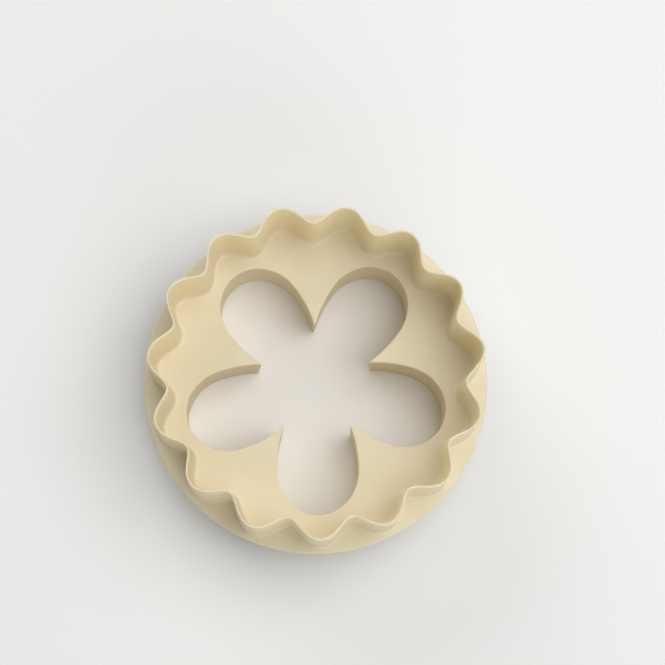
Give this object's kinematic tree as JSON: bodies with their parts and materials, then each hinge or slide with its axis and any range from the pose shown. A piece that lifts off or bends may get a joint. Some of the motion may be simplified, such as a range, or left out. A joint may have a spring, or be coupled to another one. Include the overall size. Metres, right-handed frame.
{
  "type": "fondant cutter",
  "caption": "Double-sided fondant cutter: a round ivory plastic web with a scalloped cutting wall on one side and a blossom cutting wall round its aperture on the other.",
  "frame": {"origin": "on the disc's axis, in the plane of the blossom's cutting edge on which the cutter stands", "axes": "+Z along the disc's axis towards the scalloped cutting edge, -Y along the petal that points down in the picture"},
  "size_m": [0.07, 0.07, 0.0265],
  "materials": {
    "ivory_plastic": "satin moulded"
  },
  "bodies": {
    "root": {"web_disc": "ivory_plastic", "scalloped_wall": "ivory_plastic", "blossom_wall": "ivory_plastic"}
  },
  "joints": []
}
